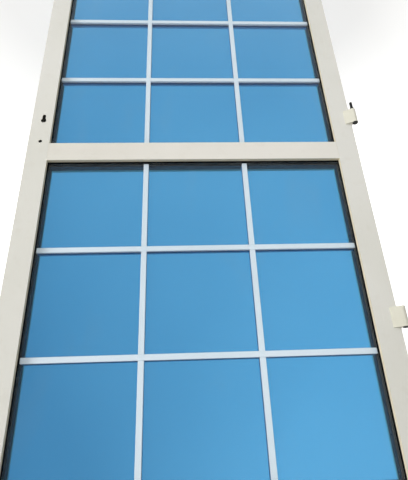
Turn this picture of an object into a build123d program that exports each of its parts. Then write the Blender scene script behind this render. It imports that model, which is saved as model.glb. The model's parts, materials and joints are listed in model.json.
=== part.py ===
"""Leaf of a glass entrance door: aluminium frame, two double-glazed panels with slim bars, lock and hinges.

The leaf stands upright, with its front face towards -Y, its hinges on the -X side and its lock on the +X
side. The origin is at the bottom of the leaf, in the middle of its overall width and depth.
"""
import os
from math import acos, atan2, cos, hypot, radians, sin

from build123d import *

# Leaf
leaf_w = 1050
leaf_d = 52
profile_w = 66
bottom_rail_w = 150
sight_h = 902

# Extrusions
wall = 2
leg_w = 14
leg_d = 12
edge_groove_w = 24
edge_groove_d = 4.5
seal_slot_w = 3.2
seal_slot_d = 3.1
seal_slot_in = 5.4
clip_slot_w = 2.5
clip_slot_d = 1.2
clip_slot_back = 6.5
joint_gap = 0.2

# Top corner cleats and rail connectors
cleat_arm = 80
cleat_wall = 6
cleat_fit = 0.5
connector_l = 45
connector_wall = 4
connector_base = 6
connector_screw_r = 3
connector_screw_head_r = 5.5
connector_screw_l = 16
connector_screw_apart = 16
bottom_chamber_w = 34

# Double glazing
pane_t = 4
cavity = 16
seal_t = 2
glass_cover = 10
edge_seal_w = 5
spacer_w = 7
spacer_wall = 1
seal_lip = 2
seal_w = 11
seal_round = 0.9
bar_w = 15.5
bar_t = 8
bar_wall = 1
lap_gap = 0.1
bar_columns = 3
bar_rows = 3
block_l = 100
side_block_l = 60
block_places = [0.25, 0.75]

# Glazing beads
bead_wall = 1.4
bead_fit = 0.1

# Hinges
hinge_low_z = 234
hinge_top_gap = 417
hinge_names = ["lower", "middle", "upper"]
pinned_hinges = 2
wing_h = 55
wing_reach = 20
wing_edge_t = 3
wing_leg_t = 3.5
wing_leg_d = 40
wing_key_fit = 0.2
barrel_r = 9
barrel_bore_r = 6
cap_t = 2
cap_plug_l = 10
cap_r = 8.8
cap_seat_r = 6.5
bush_out = 8
bush_in = 14
pin_r = 4.5
pin_body_r = 5
pin_in = 42
pin_out = 32
pin_tip = 1
pin_fit = 0.05
hinge_screw_r = 3
hinge_screw_head_r = 5.5
hinge_screw_apart = 18
socket_share = 0.55
backing_t = 5

# Lock
backset = 35
handle_below_rail = 41
handle_to_cylinder = 85
handle_hole_r = 5.5
faceplate_t = 2.5
faceplate_above_case = 58
faceplate_below_case = 35
faceplate_round = 6
faceplate_fit = 0.2
case_d = 45
case_t = 15
case_wall = 1.5
case_above_handle = 22
case_below_cylinder = 45
cylinder_r = 8.75
cylinder_slot_w = 10.5
cylinder_h = 33.5
part_fit = 0.3
hub_r = 9
hub_journal_r = 8
hub_journal_fit = 0.1
spindle_w = 8.2
hub_arm_r = 13
hub_arm_tip_r = 2.5
hub_arm_lean = 35
latch_out = 9
latch_h = 18
latch_rear = 12
latch_nose_t = 1.5
latch_riser_w = 6
latch_bar_h = 4
latch_lug_w = 3
latch_lug_gap = 0.5
latch_lug_l = 4.8
dead_h = 24
dead_l = 36
dead_below_handle = 47
dead_tail_h = 12
dead_tail_l = 19
dead_tail_back = 8
dead_notch_w = 7
post_w = 2.5
post_h = 6
post_gap = 11
spring_r = 2.4
spring_wire_r = 0.4
spring_turns = 6
spring_pocket_r = 3.2
spring_pocket_l = 10
spring_below_handle = 3.5
pillar_r = 3.5
pillar_in = 8
cover_screw_r = 1.5
cover_screw_head_r = 2.8
cover_screw_l = 10
face_screw_r = 2.5
face_screw_head_r = 4.6
face_screw_l = 12
face_screw_in = 9
countersink = 90

# Overall size and the lines that the pieces are placed by
barrel_d = 2 * barrel_r
leaf_h = bottom_rail_w + 2 * sight_h + 2 * profile_w
overall_w = leaf_w + barrel_d + latch_out
hinge_edge = barrel_d - overall_w / 2
lock_edge = hinge_edge + leaf_w
front = barrel_d - (leaf_d + barrel_d) / 2
tube_w = profile_w - leg_w
sight_w = leaf_w - 2 * profile_w
sight_left = hinge_edge + profile_w
sight_right = lock_edge - profile_w
mid_rail_z = bottom_rail_w + sight_h
panels = {"lower": bottom_rail_w, "upper": mid_rail_z + profile_w}
glass_d = leg_d + seal_t
rear_pane_d = glass_d + pane_t + cavity
glass_back_d = rear_pane_d + pane_t
bead_d = glass_back_d + seal_t
up_edge = (0, 1, 0)
inward = [(0, 0, 1), (-1, 0, 0), (0, 0, -1), (1, 0, 0)]
bead_names = ["bottom", "lock_side", "top", "hinge_side"]


def rect(x0, y0, x1, y1, mode=Mode.ADD):
    """Rectangle between two corners, in the sketch in hand."""
    with Locations(((x0 + x1) / 2, (y0 + y1) / 2)):
        Rectangle(abs(x1 - x0), abs(y1 - y0), mode=mode)


def elevation(depth):
    """Plane seen from the front, at a depth behind the front face: a negative extrusion goes deeper."""
    return Plane.XZ.offset(-(front + depth))


def corners(sight_z, grow):
    """Corners of a panel's sight opening, grown outwards, counted from the bottom left one to the right."""
    left = sight_left - grow
    right = sight_right + grow
    low = sight_z - grow
    high = sight_z + sight_h + grow
    return [(left, low), (right, low), (right, high), (left, high)]


def opening(sight_z, grow, mode=Mode.ADD):
    """Panel's sight opening, grown outwards, in the elevation sketch in hand."""
    rect(*corners(sight_z, grow)[0], *corners(sight_z, grow)[2], mode=mode)


def ring(sight_z, outer, inner):
    """Band round a panel between two distances outside its sight opening."""
    opening(sight_z, outer)
    opening(sight_z, inner, mode=Mode.SUBTRACT)


def side_plane(sight_z, side, grow):
    """Section plane of one side of a panel: x points at the glass, y to the back, z along the side."""
    x, z = corners(sight_z, grow)[(side + 1) % 4]
    along = Vector(inward[side]).cross(Vector(up_edge))
    return Plane(origin=(x, front, z), x_dir=inward[side], z_dir=along)


def save(piece, label):
    """Name a finished piece and write it to its own file."""
    piece.part.label = label
    export_step(piece.part, f"parts/{label}.step")


def frame_section(face_w, edge_groove=False, both_legs=False, webs=()):
    """Hollow extrusion: x runs across the face towards the glass, y from the front face to the back."""
    tube_start = leg_w if both_legs else 0
    tube_end = face_w - leg_w
    glass_sides = [(tube_end, 1)] + [(tube_start, -1)] * both_legs
    with BuildSketch() as section:
        rect(tube_start, 0, tube_end, leaf_d)
        rect(0, 0, face_w, leg_d)
        if edge_groove:
            groove_y = (leaf_d - edge_groove_w) / 2
            rect(0, groove_y, edge_groove_d, groove_y + edge_groove_w, mode=Mode.SUBTRACT)
        for foot, way in glass_sides:
            slot_x = foot + way * seal_slot_in
            rect(slot_x, leg_d - seal_slot_d, slot_x + way * seal_slot_w, leg_d, mode=Mode.SUBTRACT)
            clip_y = leaf_d - clip_slot_back
            rect(foot - way * clip_slot_d, clip_y - clip_slot_w, foot, clip_y, mode=Mode.SUBTRACT)
        offset(section.sketch, amount=-wall, kind=Kind.INTERSECTION, mode=Mode.SUBTRACT)
        for foot, way in glass_sides:
            rect(foot - way * wall, wall / 2, foot, leg_d - wall / 2)
        for web in webs:
            rect(web, wall / 2, web + wall, leaf_d - wall / 2)
    return section.sketch


def cylinder_cutout():
    """Cut-out of a profile cylinder, with its round end up, in the elevation sketch in hand."""
    slot_end = cylinder_z + cylinder_r - cylinder_h + cylinder_slot_w / 2
    with Locations((key_x, cylinder_z)):
        Circle(cylinder_r)
    rect(key_x - cylinder_slot_w / 2, slot_end, key_x + cylinder_slot_w / 2, cylinder_z)
    with Locations((key_x, slot_end)):
        Circle(cylinder_slot_w / 2)


def lock_holes(handle_hole):
    """Holes of the cylinder and the handle, in the elevation sketch in hand."""
    cylinder_cutout()
    with Locations((key_x, handle_z)):
        Circle(handle_hole)


def screw_group(length, shank_r, head_r, places):
    """Countersunk screws: each place is a plane in the middle of a head, facing out of it."""
    with BuildPart() as screws:
        for place in places:
            with BuildSketch(Plane(origin=place.origin, x_dir=place.x_dir, z_dir=-place.y_dir)):
                with BuildLine():
                    Polyline(
                        (0, 0),
                        (head_r, 0),
                        (shank_r, shank_r - head_r),
                        (shank_r, -length),
                        (0, -length),
                        close=True,
                    )
                make_face()
            revolve(axis=Axis(place.origin, place.z_dir))
            with BuildSketch(place):
                RegularPolygon(shank_r * socket_share, 6)
            extrude(amount=shank_r - head_r, mode=Mode.SUBTRACT)
    return screws


os.makedirs("parts", exist_ok=True)

# Frame
stile_section = frame_section(profile_w, edge_groove=True)
mid_section = frame_section(profile_w, both_legs=True)
upper_web = bottom_rail_w - leg_w - 2 * wall - bottom_chamber_w
bottom_section = frame_section(bottom_rail_w, webs=(wall + bottom_chamber_w, upper_web))
hinge_mitre = Plane(origin=(hinge_edge, front, leaf_h), z_dir=(1, 0, 1))
lock_mitre = Plane(origin=(lock_edge, front, leaf_h), z_dir=(-1, 0, 1))

# Lock lines
groove_floor = lock_edge - edge_groove_d
lock_face = groove_floor + faceplate_t
key_x = lock_face - backset
handle_z = mid_rail_z + profile_w / 2 - handle_below_rail
cylinder_z = handle_z - handle_to_cylinder
case_top = handle_z + case_above_handle
case_low = cylinder_z - case_below_cylinder
case_front_d = (leaf_d - case_t) / 2
case_back_d = case_front_d + case_t
inner_front_d = case_front_d + case_wall + part_fit
inner_t = case_t - 2 * case_wall - 2 * part_fit
case_rear = groove_floor - case_d
faceplate_top = case_top + faceplate_above_case
faceplate_low = case_low - faceplate_below_case
dead_top = handle_z - dead_below_handle + dead_h / 2
dead_low = dead_top - dead_h
latch_low = handle_z - latch_h / 2
latch_top = latch_low + latch_h
spring_z = handle_z - spring_below_handle
hinge_pitch = (leaf_h - hinge_top_gap - wing_h - hinge_low_z) / (len(hinge_names) - 1)
hinge_zs = [hinge_low_z + hinge_pitch * i for i in range(len(hinge_names))]
screw_face = hinge_edge - wing_leg_t
groove_mid = front + leaf_d / 2

# Connector lines: behind the stiles' front legs and in front of the slots for the beads
connector_front_d = leg_d + part_fit
connector_back_d = leaf_d - clip_slot_back - clip_slot_w - wall - part_fit
connector_d = connector_back_d - connector_front_d


def hinge_screw_places():
    """Planes of the hinge screw heads, on the outer face of each wing's leg."""
    return [
        Plane(origin=(screw_face, groove_mid, z + wing_h / 2 + step * hinge_screw_apart), z_dir=(-1, 0, 0))
        for z in hinge_zs
        for step in (-1, 0, 1)
    ]


def connector_lows():
    """Lower edges of the chambers that take a connector at each stile."""
    upper = bottom_rail_w - leg_w - wall - bottom_chamber_w
    return [wall, upper, mid_rail_z + leg_w + wall]


def connector_height(low):
    """Height of the chamber that starts at a lower edge."""
    if low > mid_rail_z:
        return profile_w - 2 * leg_w - 2 * wall
    return bottom_chamber_w


def connector_screw_planes():
    """Planes of the connector screw heads, inside the connectors and facing the middle of the leaf."""
    planes = []
    for low in connector_lows():
        z = low + connector_height(low) / 2
        for foot, way in ((hinge_edge + tube_w, 1), (lock_edge - tube_w, -1)):
            for step in (-0.5, 0.5):
                y = front + (connector_front_d + connector_back_d) / 2 + step * connector_screw_apart
                planes.append(Plane(origin=(foot + way * connector_base, y, z), z_dir=(way, 0, 0)))
    return planes


with BuildPart() as hinge_stile:
    with BuildSketch(Plane((hinge_edge, front, 0))):
        add(stile_section)
    extrude(amount=leaf_h)
    split(bisect_by=hinge_mitre.offset(-joint_gap / 2), keep=Keep.BOTTOM)
    for place in hinge_screw_places():
        with BuildSketch(place):
            Circle(hinge_screw_r + pin_fit)
        extrude(amount=-(wing_leg_t + edge_groove_d + 2 * wall), mode=Mode.SUBTRACT)
    for place in connector_screw_planes():
        if place.origin.X < 0:
            with BuildSketch(place):
                Circle(connector_screw_r + pin_fit)
            extrude(amount=-(connector_base + 2 * wall), mode=Mode.SUBTRACT)
save(hinge_stile, "hinge_stile")

with BuildPart() as lock_stile:
    with BuildSketch(Plane(origin=(lock_edge, front, leaf_h), x_dir=(-1, 0, 0), z_dir=(0, 0, -1))):
        add(stile_section)
    extrude(amount=leaf_h)
    split(bisect_by=lock_mitre.offset(-joint_gap / 2), keep=Keep.BOTTOM)
    for place in connector_screw_planes():
        if place.origin.X > 0:
            with BuildSketch(place):
                Circle(connector_screw_r + pin_fit)
            extrude(amount=-(connector_base + 2 * wall), mode=Mode.SUBTRACT)
    # Holes for the cylinder and the handle's spindle, through both faces
    with BuildSketch(elevation(0)):
        lock_holes(handle_hole_r)
    extrude(amount=-leaf_d, mode=Mode.SUBTRACT)
    # Slot and screw holes for the lock, in the floor of the edge groove
    with BuildSketch(elevation(case_front_d - part_fit)):
        rect(groove_floor - 2 * wall, case_low - part_fit, groove_floor, case_top + part_fit)
    extrude(amount=-(case_t + 2 * part_fit), mode=Mode.SUBTRACT)
    for z in (faceplate_low + face_screw_in, faceplate_top - face_screw_in):
        with BuildSketch(Plane(origin=(groove_floor, groove_mid, z), z_dir=(1, 0, 0))):
            Circle(face_screw_r + pin_fit)
        extrude(amount=-2 * wall, mode=Mode.SUBTRACT)
save(lock_stile, "lock_stile")

with BuildPart() as top_rail:
    with BuildSketch(Plane(origin=(hinge_edge, front, leaf_h), x_dir=(0, 0, -1), z_dir=(1, 0, 0))):
        add(stile_section)
    extrude(amount=leaf_w)
    split(bisect_by=hinge_mitre.offset(joint_gap / 2), keep=Keep.TOP)
    split(bisect_by=lock_mitre.offset(joint_gap / 2), keep=Keep.TOP)
save(top_rail, "top_rail")

for name, low, width, section in (
    ("mid_rail", mid_rail_z, profile_w, mid_section),
    ("bottom_rail", 0, bottom_rail_w, bottom_section),
):
    with BuildPart() as rail:
        with BuildSketch(Plane(origin=(lock_edge - tube_w, front, low), x_dir=(0, 0, 1), z_dir=(-1, 0, 0))):
            add(section)
        extrude(amount=leaf_w - 2 * tube_w)
        # The ends are milled to stand behind the front legs of the stiles
        with BuildSketch(elevation(0)):
            rect(sight_left - leg_w, low, sight_left + joint_gap, low + width)
            rect(sight_right + leg_w, low, sight_right - joint_gap, low + width)
        extrude(amount=-leg_d, mode=Mode.SUBTRACT)
    save(rail, name)

cleat_in = edge_groove_d + wall + cleat_fit
cleat_end = tube_w - clip_slot_d - wall - cleat_fit
cleat_reach = profile_w + cleat_arm
cleat_high = leaf_h - cleat_in
cleat_low = leaf_h - cleat_end
for side, edge, way in (("hinge", hinge_edge, 1), ("lock", lock_edge, -1)):
    outer = edge + way * cleat_in
    inner = edge + way * cleat_end
    with BuildPart() as cleat:
        with BuildSketch(elevation(wall + cleat_fit)) as cleat_outline:
            rect(outer, leaf_h - cleat_reach, inner, cleat_high)
            rect(outer, cleat_low, edge + way * cleat_reach, cleat_high)
            offset(cleat_outline.sketch, amount=-cleat_wall, kind=Kind.INTERSECTION, mode=Mode.SUBTRACT)
            # Webs across both arms, where they leave the corner
            rect(outer, cleat_low, inner, cleat_low + cleat_wall)
            rect(inner - way * cleat_wall, cleat_low, inner, cleat_high)
        extrude(amount=-(leaf_d - 2 * wall - 2 * cleat_fit))
    save(cleat, f"corner_cleat_{side}_side")

with BuildPart() as rail_connectors:
    for low in connector_lows():
        high = low + connector_height(low) - joint_gap
        low += joint_gap
        for foot, way in ((hinge_edge + tube_w, 1), (lock_edge - tube_w, -1)):
            end = foot + way * connector_l
            with BuildSketch(elevation(connector_front_d)):
                rect(foot, low, end, high)
            extrude(amount=-connector_d)
            with BuildSketch(elevation(connector_front_d + connector_wall)):
                rect(foot + way * connector_base, low + connector_wall, end, high - connector_wall)
            extrude(amount=-(connector_d - 2 * connector_wall), mode=Mode.SUBTRACT)
    for place in connector_screw_planes():
        with Locations(place):
            CounterSinkHole(
                connector_screw_r + pin_fit,
                connector_screw_head_r + pin_fit,
                depth=connector_base,
                counter_sink_angle=countersink,
            )
save(rail_connectors, "rail_connectors")
connector_screws = screw_group(
    connector_screw_l, connector_screw_r, connector_screw_head_r, connector_screw_planes()
)
save(connector_screws, "connector_screws")

# Glazing beads: one hollow section, cut to a mitred length on each side of a panel
with BuildSketch() as bead_section:
    rect(bead_fit, bead_d, leg_w, leaf_d)
    clip_y = leaf_d - clip_slot_back
    rect(bead_fit - clip_slot_d + bead_fit, clip_y - clip_slot_w + bead_fit, bead_fit, clip_y - bead_fit)
    rect(seal_slot_in, bead_d, seal_slot_in + seal_slot_w, bead_d + seal_slot_d, mode=Mode.SUBTRACT)
    offset(bead_section.sketch, amount=-bead_wall, kind=Kind.INTERSECTION, mode=Mode.SUBTRACT)

for panel, sight_z in panels.items():
    for side, side_name in enumerate(bead_names):
        length = (sight_h if side % 2 else sight_w) + 2 * leg_w
        outer = corners(sight_z, leg_w + clip_slot_d)
        inner = corners(sight_z, 0)
        after = (side + 1) % 4
        with BuildPart() as bead:
            with BuildSketch(side_plane(sight_z, side, leg_w)):
                add(bead_section.sketch)
            extrude(amount=length)
            with BuildSketch(elevation(bead_d)):
                with BuildLine():
                    Polyline(outer[side], outer[after], inner[after], inner[side], close=True)
                make_face()
            extrude(amount=-(leaf_d - bead_d), mode=Mode.INTERSECT)
        save(bead, f"{panel}_bead_{side_name}")

# Glass units
spacer_out = glass_cover - edge_seal_w
spacer_in = spacer_out - spacer_w
unit_front_d = glass_d + pane_t
bar_front_d = unit_front_d + (cavity - bar_t) / 2
bar_mid_y = front + bar_front_d + bar_t / 2
column_clear = (sight_w - (bar_columns - 1) * bar_w) / bar_columns
row_clear = (sight_h - (bar_rows - 1) * bar_w) / bar_rows
column_xs = [sight_left + i * column_clear + (i - 0.5) * bar_w for i in range(1, bar_columns)]


def row_zs(sight_z):
    """Heights of a panel's level bars."""
    return [sight_z + i * row_clear + (i - 0.5) * bar_w for i in range(1, bar_rows)]


def seal_darts(sight_z):
    """Strips of a gasket that press into the slots of the frame or the beads, in the sketch in hand."""
    far = leg_w - seal_slot_in - joint_gap / 2
    near = far - seal_slot_w + joint_gap
    left, low = corners(sight_z, 0)[0]
    right, high = corners(sight_z, 0)[2]
    rect(left - far, low, left - near, high)
    rect(right + near, low, right + far, high)
    rect(left, low - far, right, low - near)
    rect(left, high + near, right, high + far)


for panel, sight_z in panels.items():
    # Gaskets: a flat strip with a rounded lip, and darts that press into the slots
    dart_l = seal_slot_d - joint_gap
    for place, depth, dart_depth, lip_side in (
        ("front", leg_d, leg_d - dart_l, 0),
        ("rear", glass_back_d, bead_d, -1),
    ):
        with BuildPart() as gasket:
            with BuildSketch(elevation(depth)):
                ring(sight_z, seal_w - seal_lip, -seal_lip)
            extrude(amount=-seal_t)
            lip_face = gasket.faces().filter_by(Axis.Y).sort_by(Axis.Y)[lip_side]
            fillet(lip_face.inner_wires()[0].edges(), radius=seal_round)
            with BuildSketch(elevation(dart_depth)):
                seal_darts(sight_z)
            extrude(amount=-dart_l)
        save(gasket, f"{panel}_{place}_gasket")

    for place, depth in (("front", glass_d), ("rear", rear_pane_d)):
        with BuildPart() as pane:
            with BuildSketch(elevation(depth)):
                opening(sight_z, glass_cover)
            extrude(amount=-pane_t)
        save(pane, f"{panel}_{place}_pane")

    with BuildPart() as edge_seal:
        with BuildSketch(elevation(unit_front_d)):
            ring(sight_z, glass_cover, spacer_out)
        extrude(amount=-cavity)
    save(edge_seal, f"{panel}_edge_seal")

    with BuildPart() as spacer:
        with BuildSketch(elevation(unit_front_d)):
            ring(sight_z, spacer_out, spacer_in)
        extrude(amount=-cavity)
        with BuildSketch(elevation(unit_front_d + spacer_wall)):
            ring(sight_z, spacer_out - spacer_wall, spacer_in + spacer_wall)
        extrude(amount=-(cavity - 2 * spacer_wall), mode=Mode.SUBTRACT)
    save(spacer, f"{panel}_spacer")

    # Bars: hollow, half lapped where they cross, with the level bars whole at the front
    for i, x in enumerate(column_xs):
        with BuildPart() as bar:
            with BuildSketch(Plane((x, bar_mid_y, sight_z - spacer_in))) as bar_section:
                Rectangle(bar_w, bar_t)
                offset(bar_section.sketch, amount=-bar_wall, kind=Kind.INTERSECTION, mode=Mode.SUBTRACT)
            extrude(amount=sight_h + 2 * spacer_in)
            with BuildSketch(elevation(bar_front_d)):
                for z in row_zs(sight_z):
                    rect(x - bar_w / 2, z - bar_w / 2 - lap_gap, x + bar_w / 2, z + bar_w / 2 + lap_gap)
            extrude(amount=-(bar_t / 2 + lap_gap), mode=Mode.SUBTRACT)
        save(bar, f"{panel}_upright_bar_{i + 1}")
    for i, z in enumerate(row_zs(sight_z)):
        with BuildPart() as bar:
            start = (sight_left - spacer_in, bar_mid_y, z)
            with BuildSketch(Plane(origin=start, x_dir=(0, 0, 1), z_dir=(1, 0, 0))) as bar_section:
                Rectangle(bar_w, bar_t)
                offset(bar_section.sketch, amount=-bar_wall, kind=Kind.INTERSECTION, mode=Mode.SUBTRACT)
            extrude(amount=sight_w + 2 * spacer_in)
            with BuildSketch(elevation(bar_front_d + bar_t / 2)):
                for x in column_xs:
                    rect(x - bar_w / 2 - lap_gap, z - bar_w / 2, x + bar_w / 2 + lap_gap, z + bar_w / 2)
            extrude(amount=-bar_t / 2, mode=Mode.SUBTRACT)
        save(bar, f"{panel}_level_bar_{i + 1}")

    # Blocks under, over and beside the unit, in the space between the glass and the frame
    with BuildPart() as blocks:
        with BuildSketch(elevation(glass_d)):
            left, low = corners(sight_z, leg_w)[0]
            right, high = corners(sight_z, leg_w)[2]
            thick = leg_w - glass_cover
            for share in block_places:
                x = left + share * (right - left)
                z = low + share * (high - low)
                rect(x - block_l / 2, low, x + block_l / 2, low + thick)
                rect(x - block_l / 2, high - thick, x + block_l / 2, high)
                rect(left, z - side_block_l / 2, left + thick, z + side_block_l / 2)
                rect(right - thick, z - side_block_l / 2, right, z + side_block_l / 2)
        extrude(amount=-(glass_back_d - glass_d))
    save(blocks, f"{panel}_setting_blocks")

# Hinges: the barrel touches both faces of the leaf's corner, and a slope joins it to the edge of the wing
barrel_x = hinge_edge - barrel_r
barrel_y = front - barrel_r
edge_x = hinge_edge + wing_reach
edge_y = front - wing_edge_t
edge_far = hypot(edge_x - barrel_x, edge_y - barrel_y)
tangent_turn = atan2(edge_y - barrel_y, edge_x - barrel_x) - acos(barrel_r / edge_far)
tangent_x = barrel_x + barrel_r * cos(tangent_turn)
tangent_y = barrel_y + barrel_r * sin(tangent_turn)
key_half = edge_groove_w / 2 - wing_key_fit

for name, low in zip(hinge_names, hinge_zs):
    with BuildPart() as wing:
        with BuildSketch(Plane((0, 0, low))):
            with Locations((barrel_x, barrel_y)):
                Circle(barrel_r)
            with BuildLine():
                Polyline(
                    (edge_x, front),
                    (edge_x, edge_y),
                    (tangent_x, tangent_y),
                    (barrel_x, barrel_y),
                    (hinge_edge - wing_leg_t, front),
                    close=True,
                )
            make_face()
            rect(hinge_edge - wing_leg_t, barrel_y, hinge_edge, front + wing_leg_d)
            rect(hinge_edge, groove_mid - key_half, hinge_edge + edge_groove_d, groove_mid + key_half)
        extrude(amount=wing_h)
        face_edge = wing.edges().filter_by(Axis.Z).sort_by(Axis.X)[-2:].sort_by(Axis.Y)[0]
        fillet(face_edge, radius=wing_edge_t / 2)
        with BuildSketch(Plane((barrel_x, barrel_y, low))):
            Circle(barrel_bore_r)
        extrude(amount=wing_h, mode=Mode.SUBTRACT)
        with BuildSketch(Plane((barrel_x, barrel_y, low + wing_h - cap_plug_l))):
            Circle(cap_seat_r)
        extrude(amount=cap_plug_l, mode=Mode.SUBTRACT)
        for place in hinge_screw_places():
            if low < place.origin.Z < low + wing_h:
                with Locations(place):
                    CounterSinkHole(
                        hinge_screw_r + pin_fit, hinge_screw_head_r + pin_fit, counter_sink_angle=countersink
                    )
    save(wing, f"{name}_hinge_wing")

    with BuildPart() as cap:
        with BuildSketch(Plane((barrel_x, barrel_y, low + wing_h))):
            Circle(cap_r)
        extrude(amount=cap_t)
        with BuildSketch(Plane((barrel_x, barrel_y, low + wing_h - cap_plug_l))):
            Circle(cap_seat_r - pin_fit)
        extrude(amount=cap_plug_l)
        fillet(cap.edges().filter_by(GeomType.CIRCLE).sort_by(Axis.Z)[-1], radius=cap_t / 2)
    save(cap, f"{name}_hinge_cap")

# Bush and pin of each hinge that carries the leaf's weight
for name, low in list(zip(hinge_names, hinge_zs))[:pinned_hinges]:
    with BuildPart() as bush:
        with BuildSketch(Plane((barrel_x, barrel_y, low - bush_out))):
            Circle(barrel_bore_r - pin_fit)
            Circle(pin_body_r + pin_fit, mode=Mode.SUBTRACT)
        extrude(amount=bush_out + bush_in)
    save(bush, f"{name}_hinge_bush")

    with BuildPart() as pin:
        with BuildSketch(Plane((barrel_x, barrel_y, low - pin_out))):
            Circle(pin_r)
        extrude(amount=pin_out - bush_out)
        chamfer(pin.edges().filter_by(GeomType.CIRCLE).sort_by(Axis.Z)[0], length=pin_tip)
        # Thicker body inside the bush, and a head that fills the bore above it
        with BuildSketch(Plane((barrel_x, barrel_y, low - bush_out))):
            Circle(pin_body_r)
        extrude(amount=bush_out + bush_in)
        with BuildSketch(Plane((barrel_x, barrel_y, low + bush_in))):
            Circle(barrel_bore_r - pin_fit)
        extrude(amount=pin_in - bush_in)
    save(pin, f"{name}_hinge_pin")

hinge_screw_l = wing_leg_t + edge_groove_d + wall + backing_t
with BuildPart() as backing_plates:
    for low in hinge_zs:
        with BuildSketch(Plane((0, 0, low))):
            rect(
                hinge_edge + edge_groove_d + wall,
                groove_mid - key_half,
                hinge_edge + edge_groove_d + wall + backing_t,
                groove_mid + key_half,
            )
        extrude(amount=wing_h)
    for place in hinge_screw_places():
        with BuildSketch(place):
            Circle(hinge_screw_r + pin_fit)
        extrude(amount=-hinge_screw_l, mode=Mode.SUBTRACT)
save(backing_plates, "hinge_backing_plates")
hinge_screws = screw_group(hinge_screw_l, hinge_screw_r, hinge_screw_head_r, hinge_screw_places())
save(hinge_screws, "hinge_screws")

# Lock
latch_back = lock_face - latch_rear
post_face = latch_back - post_gap
inner_front_y = front + inner_front_d


def face_screw_places():
    """Planes of the heads of the two screws that hold the faceplate."""
    return [
        Plane(origin=(lock_face, groove_mid, z), z_dir=(1, 0, 0))
        for z in (faceplate_low + face_screw_in, faceplate_top - face_screw_in)
    ]


def pillar_points():
    """Pillars that the cover is screwed to: two between the bolts and two at the foot of the case."""
    between = (dead_top + latch_low) / 2
    foot = case_low + pillar_in
    return [(x, z) for x in (groove_floor - pillar_in, case_rear + pillar_in) for z in (between, foot)]


def cover_screw_places():
    """Planes of the heads of the cover's screws, on the back of the cover."""
    y = front + case_back_d
    return [Plane(origin=(x, y, z), x_dir=(1, 0, 0), z_dir=(0, 1, 0)) for x, z in pillar_points()]


with BuildPart() as lock_faceplate:
    middle = (groove_floor, groove_mid, (faceplate_low + faceplate_top) / 2)
    with BuildSketch(Plane(origin=middle, x_dir=(0, 1, 0), z_dir=(1, 0, 0))):
        RectangleRounded(edge_groove_w - 2 * faceplate_fit, faceplate_top - faceplate_low, faceplate_round)
    extrude(amount=faceplate_t)
    with BuildSketch(elevation(inner_front_d - part_fit)):
        rect(groove_floor, latch_low - part_fit, lock_face, latch_top + part_fit)
        rect(groove_floor, dead_low - part_fit, lock_face, dead_top + part_fit)
    extrude(amount=-(inner_t + 2 * part_fit), mode=Mode.SUBTRACT)
    for place in face_screw_places():
        with Locations(place):
            CounterSinkHole(
                face_screw_r + pin_fit, face_screw_head_r + pin_fit, counter_sink_angle=countersink
            )
    # Hole for the cylinder's long screw
    with Locations(Plane(origin=(lock_face, groove_mid, cylinder_z), z_dir=(1, 0, 0))):
        Hole(face_screw_r + pin_fit)
save(lock_faceplate, "lock_faceplate")

with BuildPart() as lock_case:
    with BuildSketch(elevation(case_front_d)):
        rect(case_rear, case_low, groove_floor, case_top)
    extrude(amount=-(case_t - case_wall))
    with BuildSketch(elevation(case_front_d + case_wall)):
        rect(case_rear + case_wall, case_low + case_wall, groove_floor - case_wall, case_top - case_wall)
    extrude(amount=-(case_t - 2 * case_wall), mode=Mode.SUBTRACT)
    with BuildSketch(elevation(case_front_d + case_wall)):
        with Locations(*pillar_points()):
            Circle(pillar_r)
        rect(post_face - post_w, spring_z - post_h / 2, post_face, spring_z + post_h / 2)
    extrude(amount=-(case_t - 2 * case_wall))
    for place in cover_screw_places():
        with BuildSketch(place):
            Circle(cover_screw_r + pin_fit)
        extrude(amount=case_wall - case_t, mode=Mode.SUBTRACT)
    with BuildSketch(elevation(inner_front_d - part_fit)):
        rect(groove_floor - case_wall, latch_low - part_fit, groove_floor, latch_top + part_fit)
        rect(groove_floor - case_wall, dead_low - part_fit, groove_floor, dead_top + part_fit)
    extrude(amount=-(inner_t + 2 * part_fit), mode=Mode.SUBTRACT)
    with BuildSketch(elevation(case_front_d)):
        lock_holes(hub_journal_r + hub_journal_fit)
    extrude(amount=-case_wall, mode=Mode.SUBTRACT)
    with BuildSketch(Plane(origin=(groove_floor, groove_mid, cylinder_z), z_dir=(1, 0, 0))):
        Circle(face_screw_r + pin_fit)
    extrude(amount=-case_wall, mode=Mode.SUBTRACT)
save(lock_case, "lock_case")

with BuildPart() as lock_cover:
    with BuildSketch(elevation(case_back_d - case_wall)):
        rect(case_rear, case_low, groove_floor, case_top)
    extrude(amount=-case_wall)
    with BuildSketch(elevation(case_back_d - case_wall)):
        lock_holes(hub_journal_r + hub_journal_fit)
    extrude(amount=-case_wall, mode=Mode.SUBTRACT)
    for place in cover_screw_places():
        with Locations(place):
            CounterSinkHole(
                cover_screw_r + pin_fit, cover_screw_head_r + pin_fit, counter_sink_angle=countersink
            )
save(lock_cover, "lock_cover")

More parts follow.
